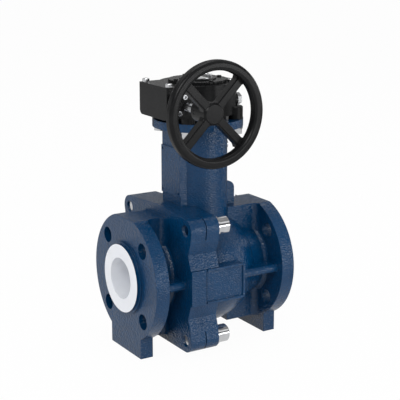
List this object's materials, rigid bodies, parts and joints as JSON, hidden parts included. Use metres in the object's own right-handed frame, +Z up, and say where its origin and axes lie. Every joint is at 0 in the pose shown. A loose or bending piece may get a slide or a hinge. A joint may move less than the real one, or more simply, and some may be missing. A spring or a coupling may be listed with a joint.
{
  "type": "gear operated flanged ball valve",
  "caption": "Lined flanged ball valve with two bolted body halves, feet, a tall column and a worm gear operator with handwheel and position indicator.",
  "frame": {"origin": "centre of the inlet sealing face, on the pipe axis", "axes": "+X along the flow from inlet to outlet, +Z up the stem, the handwheel is at -Y"},
  "size_m": [0.203, 0.1937, 0.356],
  "materials": {
    "blue_paint": "glossy",
    "black_paint": "satin",
    "white_lining": "satin",
    "seat_plastic": "matt",
    "bright_steel": "polished",
    "steel": "satin",
    "bronze": "satin",
    "seal_rubber": "matt"
  },
  "bodies": {
    "valve": {"main_body": "blue_paint", "end_body": "blue_paint", "main_lining": "white_lining", "end_lining": "white_lining", "inlet_seat": "seat_plastic", "outlet_seat": "seat_plastic", "stem_bearing": "bronze", "packing_rings": "seat_plastic", "gland_follower": "steel", "disc_springs": "steel", "gland_plate": "steel", "gland_screws": "bright_steel", "body_screws": "bright_steel", "body_washers": "bright_steel", "earthing_screw": "bright_steel", "gear_case": "black_paint", "gear_case_lid": "black_paint", "lid_screws": "bright_steel", "operator_bolts": "bright_steel", "operator_washers": "bright_steel", "wheel_bushes": "bronze", "worm_bushes": "bronze", "thrust_washers": "bronze", "shaft_seal": "seal_rubber", "front_bearing_cap": "black_paint", "cap_screws": "steel", "stop_screws": "bright_steel", "indicator_ring": "black_paint", "indicator_ring_screws": "black_paint"},
    "closure": {"ball": "bright_steel", "stem": "steel", "stem_coupling": "bright_steel", "coupling_screw": "steel", "worm_wheel": "bronze", "indicator_dial": "black_paint", "indicator_face": "black_paint", "indicator_pointer": "bright_steel", "indicator_screws": "bright_steel"},
    "handwheel_set": {"worm": "steel", "worm_shaft": "steel", "handwheel": "black_paint", "handwheel_pin": "black_paint"}
  },
  "joints": [
    {"name": "ball_turn", "type": "hinge", "parent": "valve", "child": "closure", "pos_m": [0.1069, 0, 0], "axis": [0, 0, -1], "range_deg": [0, 90]},
    {"name": "handwheel_spin", "type": "hinge", "parent": "valve", "child": "handwheel_set", "pos_m": [0.0649, 0, 0.205], "axis": [0, 1, 0], "range_deg": [0, 3240]}
  ],
  "couplings": [
    {"joint": "handwheel_spin", "follows": "ball_turn", "ratio": 36}
  ]
}
